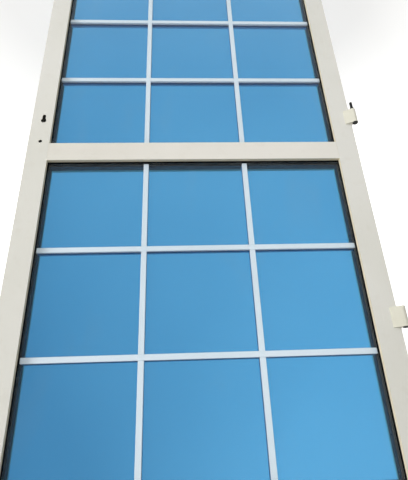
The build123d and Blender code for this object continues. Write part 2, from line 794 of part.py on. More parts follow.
# Follower: it turns with the handle's spindle, and its arm draws the latch in
tip_x = key_x + hub_arm_r * sin(radians(hub_arm_lean))
tip_z = handle_z + hub_arm_r * cos(radians(hub_arm_lean))
with BuildPart() as follower:
    with BuildSketch(elevation(inner_front_d)):
        with Locations((key_x, handle_z)):
            Circle(hub_r)
            Rectangle(2 * hub_arm_tip_r, hub_arm_r, rotation=-hub_arm_lean, align=(Align.CENTER, Align.MIN))
        with Locations((tip_x, tip_z)):
            Circle(hub_arm_tip_r)
    extrude(amount=-inner_t)
    with BuildSketch(elevation(case_front_d)):
        with Locations((key_x, handle_z)):
            Circle(hub_journal_r)
    extrude(amount=-case_t)
    with BuildSketch(elevation(case_front_d)):
        with Locations((key_x, handle_z)):
            Rectangle(spindle_w, spindle_w)
    extrude(amount=-case_t, mode=Mode.SUBTRACT)
save(follower, "follower")

bar_low = tip_z + hub_arm_tip_r + hub_arm_r * (1 - cos(radians(hub_arm_lean))) + latch_lug_gap
lug_face = tip_x - hub_arm_tip_r - latch_lug_gap
with BuildPart() as latch_bolt:
    with BuildSketch(Plane((0, 0, latch_low))):
        with BuildLine():
            Polyline(
                (latch_back, inner_front_y),
                (lock_edge + latch_out, inner_front_y),
                (lock_edge + latch_out, inner_front_y + latch_nose_t),
                (lock_face, inner_front_y + inner_t),
                (latch_back, inner_front_y + inner_t),
                close=True,
            )
        make_face()
    extrude(amount=latch_h)
    with BuildSketch(elevation(inner_front_d)):
        rect(latch_back, latch_top, latch_back + latch_riser_w, bar_low)
        rect(lug_face - latch_lug_w, bar_low, latch_back + latch_riser_w, bar_low + latch_bar_h)
        rect(lug_face - latch_lug_w, bar_low - latch_lug_l, lug_face, bar_low)
    extrude(amount=-inner_t)
    with Locations(Plane(origin=(latch_back, groove_mid, spring_z), z_dir=(-1, 0, 0))):
        Hole(spring_pocket_r, depth=spring_pocket_l)
save(latch_bolt, "latch_bolt")

with BuildPart() as latch_spring:
    spring_start = post_face + spring_wire_r + lap_gap
    spring_l = post_gap + spring_pocket_l - 2 * (spring_wire_r + lap_gap)
    with BuildLine() as spring_line:
        Helix(
            pitch=spring_l / spring_turns,
            height=spring_l,
            radius=spring_r,
            center=(spring_start, groove_mid, spring_z),
            direction=(1, 0, 0),
        )
    with BuildSketch(Plane(origin=spring_line.line @ 0, z_dir=spring_line.line % 0)):
        Circle(spring_wire_r)
    sweep(path=spring_line.line)
save(latch_spring, "latch_spring")

with BuildPart() as dead_bolt:
    tail_rear = lock_face - dead_l - dead_tail_back
    with BuildSketch(elevation(inner_front_d)):
        rect(lock_face - dead_l, dead_low, lock_face, dead_top)
        rect(tail_rear, dead_low - dead_tail_h, tail_rear + dead_tail_l, dead_low)
        notch_low = dead_low - dead_tail_h
        rect(
            key_x - dead_notch_w / 2,
            notch_low,
            key_x + dead_notch_w / 2,
            notch_low + dead_notch_w,
            mode=Mode.SUBTRACT,
        )
    extrude(amount=-inner_t)
save(dead_bolt, "dead_bolt")

faceplate_screws = screw_group(face_screw_l, face_screw_r, face_screw_head_r, face_screw_places())
save(faceplate_screws, "faceplate_screws")
cover_screws = screw_group(cover_screw_l, cover_screw_r, cover_screw_head_r, cover_screw_places())
save(cover_screws, "lock_cover_screws")
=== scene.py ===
"""Finishes, edges, seals and stage of a glass entrance door leaf: an add-on that is run as a script."""
import json
from math import radians

import bmesh
import bpy
from bpy.props import FloatProperty, FloatVectorProperty, PointerProperty
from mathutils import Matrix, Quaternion, Vector


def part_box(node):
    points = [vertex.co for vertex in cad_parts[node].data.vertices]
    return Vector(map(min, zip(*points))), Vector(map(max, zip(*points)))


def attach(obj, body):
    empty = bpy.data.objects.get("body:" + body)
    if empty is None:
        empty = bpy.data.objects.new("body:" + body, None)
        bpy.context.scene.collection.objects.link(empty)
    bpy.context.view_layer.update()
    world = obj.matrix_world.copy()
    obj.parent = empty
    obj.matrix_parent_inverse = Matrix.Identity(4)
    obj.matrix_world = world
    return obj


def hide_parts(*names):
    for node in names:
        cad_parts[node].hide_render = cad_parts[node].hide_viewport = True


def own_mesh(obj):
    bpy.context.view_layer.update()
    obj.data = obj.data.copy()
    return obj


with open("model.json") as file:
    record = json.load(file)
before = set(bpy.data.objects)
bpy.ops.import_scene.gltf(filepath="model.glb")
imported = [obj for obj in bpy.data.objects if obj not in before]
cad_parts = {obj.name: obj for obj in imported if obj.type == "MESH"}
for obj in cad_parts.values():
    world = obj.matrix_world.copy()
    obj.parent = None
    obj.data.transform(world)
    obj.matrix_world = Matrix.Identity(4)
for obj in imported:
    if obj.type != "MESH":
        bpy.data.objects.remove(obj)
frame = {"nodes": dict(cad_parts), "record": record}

bl_info = {
    "name": "Glass entrance door leaf",
    "version": (1, 0, 0),
    "blender": (4, 5, 0),
    "location": "View3D > Sidebar > Door",
    "description": "Finishes, soft edges, seals, spacers and stage of a glass entrance door leaf",
    "category": "Object",
}

# Parts of the nodes' names
PANELS = ("lower", "upper")
UPRIGHT_MEMBERS = ("hinge_stile", "lock_stile")
LEVEL_MEMBERS = ("top_rail", "mid_rail", "bottom_rail")
UPRIGHT_BEADS = ("hinge_side", "lock_side")
LEVEL_BEADS = ("bottom", "top")
HINGES = ("lower", "middle", "upper")
PINNED_HINGES = ("lower", "middle")
BARS = ("upright_bar_1", "upright_bar_2", "level_bar_1", "level_bar_2")

# Modelling: points nearer than MERGE metres are one, a face whose normal's part along an axis is over
# FACING faces that way, and angles are in degrees
MERGE = 1e-5
FACING = 0.9
FLAT_ANGLE = 0.5
BEVEL_ANGLE = 35
SMOOTH_ANGLE = 32
FLAT_FACE_WEIGHT = 100
LIP_SEGMENTS = 4
TO_FRONT, TO_BACK = -1, 1
BOTH_WAYS = (-1, 1)

# Material slot of a spacer bar that the drying beads take
BEAD_SLOT = 1

# Patterns: how much finer they are across a level and an upright piece than along it
ALONG_X = (1.0, 60.0, 60.0)
ALONG_Z = (60.0, 60.0, 1.0)

# Sockets of a Mix node that mixes colours
MIX_SHARE, MIX_FIRST, MIX_SECOND, MIX_RESULT = 0, 6, 7, 2

# Glass: the front pane mirrors less than bare glass does, so that the pale studio doesn't wash out the dark
# spacers behind it, and FRONT_PANE_SHADOW is what it leaves of a lamp's light
FRONT_PANE_IOR = 1.25
FRONT_PANE_SHADOW = (0.985, 0.99, 0.988)
REAR_PANE_METAL = 0.92

# Stage: lengths in metres, and the camera's sensor in millimetres
WHITE = (1.0, 1.0, 1.0)
WARM_LIGHT = (1.0, 0.985, 0.955)
COOL_LIGHT = (0.97, 0.985, 1.0)
LAMP_AIM = (0.0, 0.0, 1.05)
KEY_LAMP = {"size": 4.0, "place": (8.3, -5.2, 1.2), "tone": WARM_LIGHT}
FILL_LAMP = {"size": 1.6, "place": (-0.2, -1.8, 0.8), "tone": COOL_LIGHT}
BACK_LAMP = {"size": 2.2, "place": (-0.8, 2.8, 2.1), "tone": WHITE}
SKY_SLOPE = 2.3
FLOOR_SIZE = 24
FLOOR_ROUGHNESS = 0.8
SENSOR_WIDTH = 36
NEAREST_SEEN = 0.01


def linear(red, green, blue):
    """Scene-linear colour of three display values from 0 to 255, by the sRGB curve."""
    shares = (value / 255 for value in (red, green, blue))
    return tuple(s / 12.92 if s <= 0.04045 else ((s + 0.055) / 1.055) ** 2.4 for s in shares)


def scaled(tone, factor):
    """Lighter or darker copy of a colour."""
    return tuple(min(1.0, value * factor) for value in tone)


def colour(name, description, value):
    """Colour property of a finish."""
    return FloatVectorProperty(
        name=name, description=description, subtype="COLOR", size=3, min=0, max=1, default=value
    )


def sky_tone(name, description, value):
    """Colour property of the sky, which may be brighter than white."""
    return FloatVectorProperty(name=name, description=description, size=3, min=0, default=value)


def length(name, description, value):
    """Length property, in metres."""
    return FloatProperty(
        name=name, description=description, unit="LENGTH", precision=5, min=0, default=value
    )


def brightness(name, description, value):
    """Strength property of a light that no lamp gives."""
    return FloatProperty(name=name, description=description, min=0, default=value)


def power(name, description, value):
    """Power property of a lamp, in watts."""
    return FloatProperty(name=name, description=description, subtype="POWER", min=0, default=value)


def point(name, description, value):
    """Place property, in metres."""
    return FloatVectorProperty(name=name, description=description, subtype="TRANSLATION", default=value)


class DoorCoatSettings(bpy.types.PropertyGroup):
    """Powder coat of the frame, the beads and the bars."""

    stile_colour: colour("Stiles", "Powder coat of the upright pieces", linear(225, 224, 218))
    stile_shade: colour("Stile shade", "Tint that the upright coat drifts to", linear(219, 218, 210))
    rail_colour: colour("Rails", "Powder coat of the level pieces", linear(229, 226, 219))
    rail_shade: colour("Rail shade", "Tint that the level coat drifts to", linear(223, 220, 211))
    bar_colour: colour("Bars", "Coat of the glazing bars", linear(217, 226, 238))
    bar_shade: colour("Bar shade", "Tint that the bars drift to", linear(209, 220, 232))
    # Painted light: the sides take a lighter, warmer coat that stands in for warm light falling on them
    painted_side_light: colour("Sides", "Sunlit coat on the sides that face the glass", linear(239, 229, 202))
    dust_colour: colour("Dust", "Dust and fine marks on the coat", linear(178, 166, 142))
    frame_edge: length("Frame edge", "Radius of the extrusions' edges", 0.0004)
    bar_edge: length("Bar edge", "Radius of the bars' edges", 0.0009)


class DoorGlassSettings(bpy.types.PropertyGroup):
    """The two panes of each double glazed unit."""

    front_tint: colour("Front pane", "Tint of the clear front pane", linear(250, 252, 251))
    rear_colour: colour("Rear pane", "Reflective coat of the rear pane", linear(81, 161, 214))
    rear_shade: colour("Rear shade", "Deeper tint of the reflective coat", linear(73, 154, 208))
    film_colour: colour("Film", "Dust that lies on the glass", linear(150, 176, 196))


class DoorSealSettings(bpy.types.PropertyGroup):
    """Gaskets and sealant round the glass."""

    rubber_colour: colour("Rubber", "Gaskets and edge seals", linear(9, 9, 10))
    rubber_dust: colour("Rubber dust", "Dust on the gaskets", linear(60, 58, 54))
    strip_width: length("Strip width", "Width of a gasket, seen from its face", 0.011)
    strip_depth: length("Strip depth", "Thickness of a gasket between glass and frame", 0.002)
    lip_width: length("Lip width", "Width of the round lip", 0.0026)
    lip_round: length("Lip radius", "Radius of the gaskets' lips", 0.0008)
    root_in: length("Root start", "From a gasket's outer edge to its root", 0.0004)
    root_width: length("Root width", "Width of the root in its slot", 0.0032)
    groove_width: length("Groove width", "Width of the groove beside the lip", 0.0008)
    groove_depth: length("Groove depth", "Depth of the groove beside the lip", 0.0005)


class DoorSpacerSettings(bpy.types.PropertyGroup):
    """Perforated spacer bars between the panes."""

    metal_colour: colour("Spacer", "Metal of the spacer bars", linear(10, 13, 18))
    bead_colour: colour("Drying beads", "Beads that show in the slots", linear(205, 205, 200))
    bar_height: length("Bar height", "From a spacer's back to its slotted face", 0.007)
    slot_pitch: length("Slot pitch", "From one slot to the next", 0.006)
    slot_length: length("Slot length", "Length of a slot", 0.0050)
    slot_width: length("Slot width", "Width of a slot", 0.0018)
    slot_depth: length("Slot depth", "Depth of a slot", 0.0005)
    rows_apart: length("Rows apart", "Between the two rows of slots", 0.0076)


class DoorFittingSettings(bpy.types.PropertyGroup):
    """Hinges, lock, screws and inner fittings."""

    hinge_colour: colour("Hinges", "Coat of the hinge wings", linear(217, 215, 201))
    hinge_shade: colour("Hinge shade", "Tint that the hinge coat drifts to", linear(209, 207, 192))
    plastic_colour: colour("Plastic", "Caps, bushes and setting blocks", linear(24, 24, 25))
    steel_colour: colour("Zinc steel", "Zinc plated steel", linear(168, 170, 170))
    bolt_colour: colour("Lock steel", "Faceplate and bolts", linear(196, 196, 192))
    pin_colour: colour("Pin steel", "Hinge pins", linear(52, 52, 54))
    raw_colour: colour("Bare aluminium", "Cleats and connectors", linear(186, 188, 190))
    hinge_edge: length("Hinge edge", "Radius of the hinge wings' edges", 0.0008)
    small_edge: length("Small edge", "Radius of small fittings' edges", 0.0003)


class DoorStudioSettings(bpy.types.PropertyGroup):
    """Floor, sky, lamps and camera."""

    floor_colour: colour("Floor", "Plain pale floor", linear(232, 231, 228))
    floor_glow: brightness("Floor glow", "Glow of the near floor, which the camera alone sees", 0.30)
    floor_fade: FloatVectorProperty(
        name="Floor fade",
        description="Distances between which the floor turns white",
        subtype="XYZ_LENGTH",
        size=2,
        min=0,
        default=(0.9, 2.6),
    )
    sky: brightness("Soft light", "Even light from all round", 0.38)
    sky_deep: sky_tone("Deep sky", "What gloss shows of the lock side's sky", (0.67, 0.71, 0.74))
    sky_bright: sky_tone("Bright sky", "What gloss shows of the hinge side's sky", (1.18, 1.18, 1.14))
    key_power: power("Key lamp", "Far lamp at the lock side", 840)
    fill_power: power("Fill lamp", "Low lamp before the face", 7.4)
    back_power: power("Back lamp", "Lamp behind the leaf", 60)
    camera_place: point("Camera", "Place of the camera", (0.0519, -1.1224, 1.9585))
    camera_aim: point("Aim", "Point that the camera looks at", (-0.0112, -0.017, 1.4021))
    camera_roll: FloatProperty(
        name="Roll",
        description="Turn of the camera about its line of sight",
        subtype="ANGLE",
        default=radians(177.617),
    )
    camera_lens: FloatProperty(
        name="Lens", description="Focal length in millimetres on 36 mm", min=1, default=32.7
    )


def cad_nodes():
    """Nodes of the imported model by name."""
    return frame["nodes"]


def body_of(node):
    """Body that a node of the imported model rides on."""
    bodies = frame["record"]["behaviour"]["bodies"]
    return next(body for body, nodes in bodies.items() if node in nodes)


def slot_of(node):
    """Material slot that the record gives a node."""
    return cad_nodes()[node].data.materials[0].name.split(".")[0]


def take(piece):
    """Select one piece alone and make it the one in hand."""
    bpy.ops.object.select_all(action="DESELECT")
    piece.select_set(True)
    bpy.context.view_layer.objects.active = piece


def settle(piece):
    """Put the piece's place, turn and size into its mesh."""
    take(piece)
    bpy.ops.object.transform_apply(location=True, rotation=True, scale=True)


def pick(piece, kind, test):
    """In edit mode, select only the faces or edges that pass the test."""
    bpy.ops.mesh.select_mode(type=kind)
    bpy.ops.mesh.select_all(action="DESELECT")
    mesh = bmesh.from_edit_mesh(piece.data)
    parts = mesh.faces if kind == "FACE" else mesh.edges
    for part in parts:
        part.select_set(test(part))
    mesh.select_flush_mode()
    bmesh.update_edit_mesh(piece.data)


def push(distance, axis):
    """In edit mode, extrude the picked faces by a distance along an axis."""
    move = [distance if name == axis else 0 for name in "XYZ"]
    bpy.ops.mesh.extrude_region_move(TRANSFORM_OT_translate={"value": move})


def middle(edge):
    """Middle of an edge."""
    return (edge.verts[0].co + edge.verts[1].co) / 2


def smooth(piece):
    """Shade a piece smooth, apart from its sharp edges, with its large faces kept flat."""
    take(piece)
    bpy.ops.object.shade_smooth_by_angle(angle=radians(SMOOTH_ANGLE))
    flat = piece.modifiers.new("Flat faces", "WEIGHTED_NORMAL")
    flat.weight = FLAT_FACE_WEIGHT
    flat.keep_sharp = True
    bpy.ops.object.modifier_apply(modifier=flat.name)


def bevel_edges(piece, width, segments):
    """Round a piece's sharp edges with a bevel that is applied."""
    take(piece)
    rounding = piece.modifiers.new("Edges", "BEVEL")
    rounding.width = width
    rounding.segments = segments
    rounding.limit_method = "ANGLE"
    rounding.angle_limit = radians(BEVEL_ANGLE)
    rounding.use_clamp_overlap = True
    rounding.harden_normals = False
    bpy.ops.object.modifier_apply(modifier=rounding.name)


def mount(piece, nodes, *materials):
    """Finish a new piece: materials, body and the nodes that it stands for, which are hidden."""
    for material in materials:
        piece.data.materials.append(material)
    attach(piece, body_of(nodes[0]))
    slot_of(nodes[0])
    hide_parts(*nodes)


def coat_node(node, material):
    """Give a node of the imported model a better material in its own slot."""
    for slot in cad_nodes()[node].material_slots:
        slot.material = material


def cleaned(node, name):
    """Copy of a node with its mesh merged and its flat faces made whole."""
    piece = bpy.data.objects.new(name, cad_nodes()[node].data.copy())
    piece.data.name = piece.name
    piece.data.materials.clear()
    bpy.context.scene.collection.objects.link(piece)
    take(piece)
    bpy.ops.mesh.customdata_custom_splitnormals_clear()
    bpy.ops.object.mode_set(mode="EDIT")
    bpy.ops.mesh.select_all(action="SELECT")
    bpy.ops.mesh.remove_doubles(threshold=MERGE)
    bpy.ops.mesh.dissolve_limited(angle_limit=radians(FLAT_ANGLE))
    bpy.ops.object.mode_set(mode="OBJECT")
    return piece


def softened(node, radius, material, segments=2):
    """Rounded copy of a node, its sharp edges bevelled."""
    piece = cleaned(node, f"{node}_rounded")
    bevel_edges(piece, radius, segments)
    smooth(piece)
    mount(piece, [node], material)


class ShaderTree:
    """Shader nodes in the making, of the few kinds that the finishes and the surroundings need."""

    def __init__(self, owner):
        owner.use_nodes = True
        self.tree = owner.node_tree
        self.tree.nodes.clear()

    def add(self, kind):
        """New node of a kind."""
        return self.tree.nodes.new(f"ShaderNode{kind}")

    def join(self, source, target):
        """Link two sockets, or set the second to a plain value."""
        if isinstance(source, bpy.types.NodeSocket):
            self.tree.links.new(source, target)
        elif hasattr(source, "__len__"):
            target.default_value = (*source, 1.0)
        else:
            target.default_value = source

    def level(self, value, start, end, low=0.0, high=1.0):
        """Part of a pattern between two levels, spread from low to high."""
        node = self.add("MapRange")
        for name, number in (("From Min", start), ("From Max", end), ("To Min", low), ("To Max", high)):
            self.join(number, node.inputs[name])
        self.join(value, node.inputs["Value"])
        return node.outputs["Result"]

    def blend(self, share, first, second):
        """Mix of two colours by a pattern."""
        node = self.add("Mix")
        node.data_type = "RGBA"
        self.join(share, node.inputs[MIX_SHARE])
        self.join(first, node.inputs[MIX_FIRST])
        self.join(second, node.inputs[MIX_SECOND])
        return node.outputs[MIX_RESULT]

    def split(self, vector):
        """The three parts of a vector."""
        node = self.add("SeparateXYZ")
        self.join(vector, node.inputs["Vector"])
        return node.outputs

    def math(self, operation, *values):
        """One sum on plain values or patterns."""
        node = self.add("Math")
        node.operation = operation
        for value, socket in zip(values, node.inputs):
            self.join(value, socket)
        return node.outputs[0]

    def square(self, value):
        """A pattern times itself."""
        return self.math("MULTIPLY", value, value)

    def background(self, tone, strength):
        """Light of the surroundings."""
        node = self.add("Background")
        self.join(tone, node.inputs["Color"])
        self.join(strength, node.inputs["Strength"])
        return node.outputs["Background"]

    def choice(self, share, first, second):
        """The first shader where the share is 0, and the second where it is 1."""
        node = self.add("MixShader")
        for source, socket in zip((share, first, second), node.inputs):
            self.join(source, socket)
        return node.outputs["Shader"]


class Finish(ShaderTree):
    """Procedural finish in the making: a principled shader and the patterns that drive it."""

    def __init__(self, name, metal=0.0, gloss=0.5):
        self.material = bpy.data.materials.new(name)
        super().__init__(self.material)
        self.shader = self.add("BsdfPrincipled")
        self.shader.inputs["Metallic"].default_value = metal
        self.shader.inputs["Specular IOR Level"].default_value = gloss
        self.out = self.add("OutputMaterial")
        self.join(self.shader.outputs["BSDF"], self.out.inputs["Surface"])
        self.where = self.add("TexCoord").outputs["Object"]
        self.normal = None

    def noise(self, scale, detail, stretch=None, warp=0.0):
        """Noise over the object, finer along the axes that stretch makes larger."""
        where = self.where
        if stretch:
            mapping = self.add("Mapping")
            mapping.inputs["Scale"].default_value = stretch
            self.join(where, mapping.inputs["Vector"])
            where = mapping.outputs["Vector"]
        node = self.add("TexNoise")
        node.inputs["Scale"].default_value = scale
        node.inputs["Detail"].default_value = detail
        node.inputs["Distortion"].default_value = warp
        self.join(where, node.inputs["Vector"])
        return node.outputs["Fac"]

    def patches(self, scale, detail, start, end, low=0.0, high=1.0, stretch=None, warp=0.0):
        """Part of a noise between two levels, spread from low to high."""
        return self.level(self.noise(scale, detail, stretch, warp), start, end, low, high)

    def aside(self, upright):
        """Mask of the painted side light: full on the sides of a piece, of an upright one only towards the
        glass.
        """
        normal = self.split(self.add("TexCoord").outputs["Normal"])
        sides = self.level(self.math("ABSOLUTE", normal["Y"]), start=0.75, end=0.25)
        if not upright:
            return sides
        outwards = self.math("MULTIPLY", normal["X"], self.split(self.where)["X"])
        return self.math("MULTIPLY", sides, self.level(outwards, start=0.05, end=-0.05))

    def relief(self, height, distance, strength):
        """One more layer of bump, its height in metres."""
        node = self.add("Bump")
        node.inputs["Distance"].default_value = distance
        node.inputs["Strength"].default_value = strength
        self.join(height, node.inputs["Height"])
        if self.normal:
            self.join(self.normal, node.inputs["Normal"])
        self.normal = node.outputs["Normal"]

    def done(self, base, rough):
        """Wire colour, roughness and relief to the shader, and return the material."""
        self.join(base, self.shader.inputs["Base Color"])
        self.join(rough, self.shader.inputs["Roughness"])
        if self.normal:
            self.join(self.normal, self.shader.inputs["Normal"])
        return self.material


def powder_coat(name, base, shade, dust, along, side=None):
    """Fine textured powder coat with slow drifts of tint, dust, specks and rub marks along the piece, and
    painted warm light on its sides where a side colour is given.
    """
    finish = Finish(name, gloss=0.45)
    drift = finish.patches(scale=2.4, detail=3.0, start=0.36, end=0.64)
    tint = finish.blend(drift, base, shade)
    # Painted light: a lighter, warmer colour on the sides, as if warm light fell on them
    if side:
        tint = finish.blend(finish.aside(along == ALONG_Z), tint, side)
    settled = finish.patches(scale=38.0, detail=7.0, start=0.56, end=0.80, high=0.10)
    tint = finish.blend(settled, tint, dust)
    specks = finish.patches(scale=520.0, detail=2.0, start=0.70, end=0.74, high=0.35)
    tint = finish.blend(specks, tint, dust)
    rubs = finish.patches(
        scale=7.0, detail=5.0, start=0.66, end=0.72, high=0.30, stretch=along, warp=0.4
    )
    tint = finish.blend(rubs, tint, scaled(base, 1.12))
    rough = finish.patches(scale=55.0, detail=4.0, start=0.3, end=0.7, low=0.36, high=0.50)
    finish.relief(finish.noise(scale=1100.0, detail=2.0), distance=0.00010, strength=0.5)
    finish.relief(rubs, distance=0.00004, strength=0.6)
    return finish.done(tint, rough)


def brushed_metal(name, base, along, metal=1.0, rough_low=0.26, rough_high=0.42, gloss=0.5):
    """Metal with fine drawing lines, faint stains and fingermarks."""
    finish = Finish(name, metal, gloss)
    lines = finish.noise(scale=9.0, detail=4.0, stretch=along)
    tint = finish.blend(finish.level(lines, start=0.35, end=0.65), base, scaled(base, 0.82))
    stains = finish.patches(scale=70.0, detail=5.0, start=0.55, end=0.75, high=0.45)
    tint = finish.blend(stains, tint, scaled(base, 0.72))
    rough = finish.patches(
        scale=120.0, detail=4.0, start=0.3, end=0.7, low=rough_low, high=rough_high
    )
    finish.relief(lines, distance=0.00003, strength=0.6)
    return finish.done(tint, rough)


def moulded(name, base, dust, grain=900.0, rough_low=0.42, rough_high=0.60, dust_share=0.22, gloss=0.5):
    """Moulded plastic or rubber with a fine grain and some dust."""
    finish = Finish(name, gloss=gloss)
    settled = finish.patches(scale=90.0, detail=6.0, start=0.50, end=0.80, high=dust_share)
    tint = finish.blend(settled, base, dust)
    rough = finish.patches(
        scale=200.0, detail=3.0, start=0.3, end=0.7, low=rough_low, high=rough_high
    )
    finish.relief(finish.noise(grain, detail=2.0), distance=0.00006, strength=0.6)
    return finish.done(tint, rough)


def clear_pane(name, tint):
    """Clear float glass that lets the lamps through, with the faintest waviness and smears."""
    finish = Finish(name)
    finish.shader.inputs["Transmission Weight"].default_value = 1.0
    finish.shader.inputs["IOR"].default_value = FRONT_PANE_IOR
    finish.relief(finish.noise(scale=3.0, detail=1.0), distance=0.0002, strength=0.15)
    smears = finish.patches(
        scale=6.0, detail=6.0, start=0.45, end=0.75, high=0.035, stretch=(1.0, 1.0, 0.5), warp=0.6
    )
    material = finish.done(tint, smears)
    passing = finish.add("BsdfTransparent")
    finish.join(FRONT_PANE_SHADOW, passing.inputs["Color"])
    shadowed = finish.add("LightPath").outputs["Is Shadow Ray"]
    pane = finish.choice(shadowed, finish.shader.outputs["BSDF"], passing.outputs["BSDF"])
    finish.join(pane, finish.out.inputs["Surface"])
    return material


def reflective_pane(name, base, shade, film):
    """Blue reflective coated glass with slow drifts of tint, water marks and a thin film of dust."""
    finish = Finish(name, REAR_PANE_METAL)
    drift = finish.patches(scale=1.3, detail=2.0, start=0.38, end=0.62)
    tint = finish.blend(drift, base, shade)
    marks = finish.patches(
        scale=9.0, detail=7.0, start=0.58, end=0.80, high=0.12, stretch=(1.0, 1.0, 0.35), warp=0.8
    )
    tint = finish.blend(marks, tint, film)
    dust = finish.patches(scale=240.0, detail=3.0, start=0.70, end=0.76, high=0.28)
    tint = finish.blend(dust, tint, film)
    rough = finish.patches(
        scale=5.0, detail=6.0, start=0.35, end=0.70, low=0.05, high=0.11, warp=0.5
    )
    finish.relief(finish.noise(scale=1.6, detail=1.0), distance=0.0006, strength=0.20)
    return finish.done(tint, rough)


class DoorPieceOperator:
    """Shared settings of the operators that make the door's pieces."""

    bl_options = {"REGISTER", "UNDO"}


class DOOR_OT_frame(DoorPieceOperator, bpy.types.Operator):
    """Frame members and glazing beads with softly rounded, powder coated edges"""

    bl_idname = "door.frame"
    bl_label = "Frame and beads"

    def execute(self, context):
        coat = context.scene.door_coat
        marks = coat.dust_colour
        # Painted warm light on the frame's inner sides
        sides = coat.painted_side_light
        upright = powder_coat("Stile coat", coat.stile_colour, coat.stile_shade, marks, ALONG_Z, sides)
        level = powder_coat("Rail coat", coat.rail_colour, coat.rail_shade, marks, ALONG_X, sides)
        for node in UPRIGHT_MEMBERS:
            softened(node, coat.frame_edge, upright)
        for node in LEVEL_MEMBERS:
            softened(node, coat.frame_edge, level)
        for panel in PANELS:
            for bead in UPRIGHT_BEADS:
                softened(f"{panel}_bead_{bead}", coat.frame_edge, upright)
            for bead in LEVEL_BEADS:
                softened(f"{panel}_bead_{bead}", coat.frame_edge, level)
        return {"FINISHED"}


class DOOR_OT_bars(DoorPieceOperator, bpy.types.Operator):
    """White bars between the panes, with rounded edges"""

    bl_idname = "door.bars"
    bl_label = "Glazing bars"

    def execute(self, context):
        coat = context.scene.door_coat
        white = powder_coat("Bar coat", coat.bar_colour, coat.bar_shade, coat.bar_shade, ALONG_Z)
        for panel in PANELS:
            for bar in BARS:
                softened(f"{panel}_{bar}", coat.bar_edge, white, segments=3)
        return {"FINISHED"}


class DOOR_OT_glass(DoorPieceOperator, bpy.types.Operator):
    """Clear front panes and blue reflective rear panes"""

    bl_idname = "door.glass"
    bl_label = "Panes"

    def execute(self, context):
        glass = context.scene.door_glass
        clear = clear_pane("Clear pane", glass.front_tint)
        blue = reflective_pane("Blue pane", glass.rear_colour, glass.rear_shade, glass.film_colour)
        for panel in PANELS:
            coat_node(f"{panel}_front_pane", clear)
            coat_node(f"{panel}_rear_pane", blue)
        return {"FINISHED"}


def gasket(node, face_y, way, sizes, material):
    """Gasket ring on one face of the glass: concentric bands with a root, a groove and a round lip."""
    low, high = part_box(node)
    deep = high.y - face_y if way == TO_FRONT else face_y - low.y
    shoulder = sizes.strip_width - sizes.root_in - sizes.root_width - sizes.groove_width - sizes.lip_width
    bands = (
        ("rim", sizes.root_in),
        ("root", sizes.root_width),
        ("shoulder", shoulder),
        ("groove", sizes.groove_width),
        ("lip", sizes.lip_width),
    )
    bpy.ops.object.select_all(action="DESELECT")
    centre = ((low.x + high.x) / 2, face_y, (low.z + high.z) / 2)
    bpy.ops.mesh.primitive_plane_add(size=1, location=centre, rotation=(radians(90), 0, 0))
    piece = bpy.context.object
    piece.name = f"{node}_lip"
    piece.data.name = piece.name
    piece.scale = (high.x - low.x, high.z - low.z, 1)
    settle(piece)
    bpy.ops.object.mode_set(mode="EDIT")
    bpy.ops.mesh.select_all(action="SELECT")
    inner = 0.0
    spans = {}
    for band, width in bands:
        bpy.ops.mesh.inset(thickness=width)
        spans[band] = (inner, inner + width)
        inner += width
    bpy.ops.mesh.delete(type="FACE")
    bpy.ops.mesh.select_all(action="SELECT")
    push(-way * deep, "Y")
    bpy.ops.mesh.select_all(action="SELECT")
    bpy.ops.mesh.normals_make_consistent(inside=False)

    def inset_of(place):
        return min(place.x - low.x, high.x - place.x, place.z - low.z, high.z - place.z)

    def face_of(band):
        start, end = spans[band]
        return lambda face: (
            face.normal.y * way > FACING and start < inset_of(face.calc_center_median()) < end
        )

    def at_lip(edge):
        along_face = abs((edge.verts[0].co - edge.verts[1].co).y) < MERGE
        return along_face and abs(inset_of(middle(edge)) - inner) < MERGE

    root_end = low.y if way == TO_FRONT else high.y
    pick(piece, "FACE", face_of("root"))
    push(root_end - face_y, "Y")
    pick(piece, "FACE", face_of("groove"))
    push(-way * sizes.groove_depth, "Y")
    pick(piece, "EDGE", at_lip)
    bpy.ops.mesh.bevel(
        offset=sizes.lip_round, segments=LIP_SEGMENTS, affect="EDGES", clamp_overlap=True
    )
    bpy.ops.object.mode_set(mode="OBJECT")
    smooth(piece)
    mount(piece, [node], material)


class DOOR_OT_seals(DoorPieceOperator, bpy.types.Operator):
    """Gaskets with rounded lips, and the sealant at the edges of the glass"""

    bl_idname = "door.seals"
    bl_label = "Gaskets and seals"

    def execute(self, context):
        sizes = context.scene.door_seals
        rubber = moulded(
            "Gasket rubber",
            sizes.rubber_colour,
            sizes.rubber_dust,
            rough_low=0.5,
            rough_high=0.72,
            dust_share=0.1,
            gloss=0.08,
        )
        sealant = moulded("Edge sealant", sizes.rubber_colour, sizes.rubber_dust, grain=300.0)
        for panel in PANELS:
            front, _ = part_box(f"{panel}_front_pane")
            gasket(f"{panel}_front_gasket", front.y - sizes.strip_depth, TO_FRONT, sizes, rubber)
            _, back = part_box(f"{panel}_rear_pane")
            gasket(f"{panel}_rear_gasket", back.y + sizes.strip_depth, TO_BACK, sizes, rubber)
            coat_node(f"{panel}_edge_seal", sealant)
        return {"FINISHED"}


